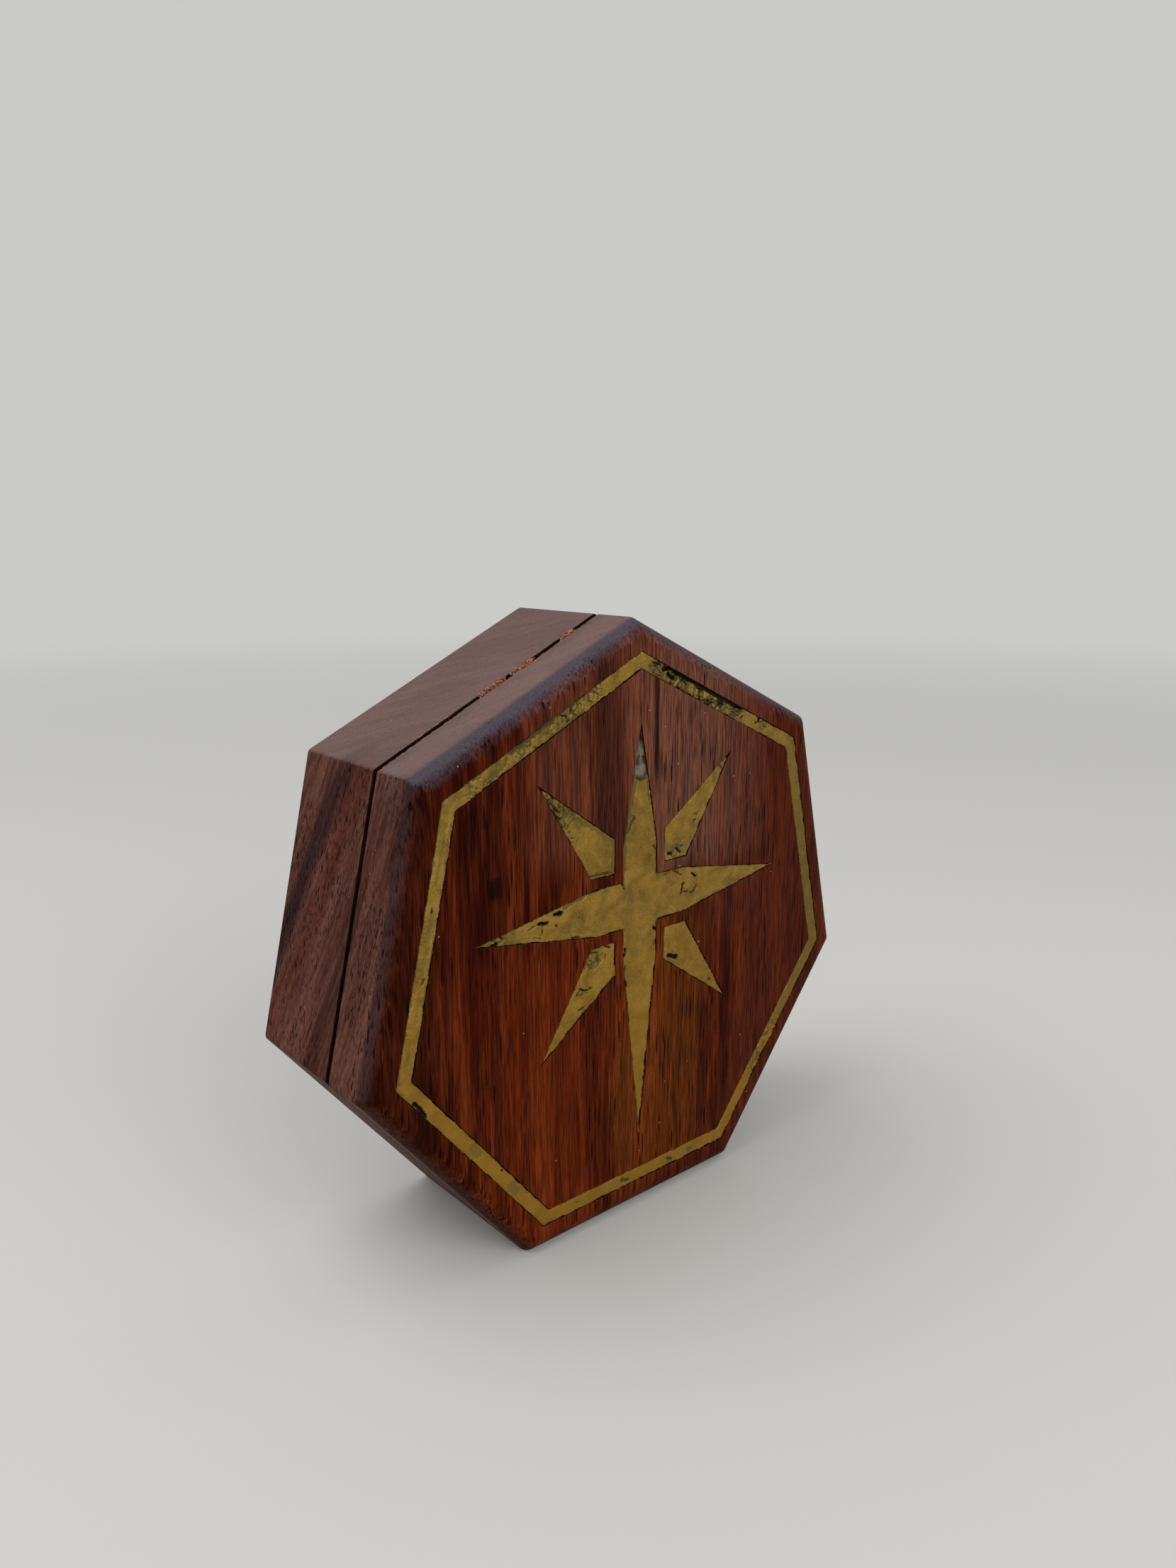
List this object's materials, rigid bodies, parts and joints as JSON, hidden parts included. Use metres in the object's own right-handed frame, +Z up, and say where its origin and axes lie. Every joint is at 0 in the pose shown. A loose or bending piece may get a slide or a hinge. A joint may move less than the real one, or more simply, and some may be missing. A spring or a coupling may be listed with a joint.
{
  "type": "inlaid wooden box",
  "caption": "Heptagonal hardwood box with a magnet-held lift-off lid, a metal-filled border line and compass star inlaid in the lid, and round pockets inside.",
  "frame": {"origin": "on the surface the box stands on, below the middle of its outline and depth", "axes": "+Z up, with the box standing on one of its seven sides; the inlaid face looks along -Y; +X is to the right of someone who looks at that face"},
  "size_m": [0.0974, 0.03, 0.095],
  "materials": {
    "walnut_lid": "oiled and buffed walnut, satin",
    "walnut_base": "oiled walnut, dull satin",
    "brass_inlay": "brass-powder-filled resin, sanded flush, aged and mottled",
    "nickel_magnet": "nickel-plated disc magnet, satin"
  },
  "bodies": {
    "base": {"base": "walnut_base", "base_magnet_1": "nickel_magnet", "base_magnet_2": "nickel_magnet", "base_magnet_3": "nickel_magnet", "base_magnet_4": "nickel_magnet", "base_magnet_5": "nickel_magnet", "base_magnet_6": "nickel_magnet", "base_magnet_7": "nickel_magnet"},
    "lid": {"lid": "walnut_lid", "border_inlay": "brass_inlay", "star_inlay": "brass_inlay", "kite_inlay_upper_left": "brass_inlay", "kite_inlay_upper_right": "brass_inlay", "kite_inlay_lower_left": "brass_inlay", "kite_inlay_lower_right": "brass_inlay", "lid_magnet_1": "nickel_magnet", "lid_magnet_2": "nickel_magnet", "lid_magnet_3": "nickel_magnet", "lid_magnet_4": "nickel_magnet", "lid_magnet_5": "nickel_magnet", "lid_magnet_6": "nickel_magnet", "lid_magnet_7": "nickel_magnet"}
  },
  "joints": [
    {"name": "lid_pull", "type": "slide", "parent": "base", "child": "lid", "axis": [0, -1, 0], "range_m": [0, 0.06]}
  ]
}
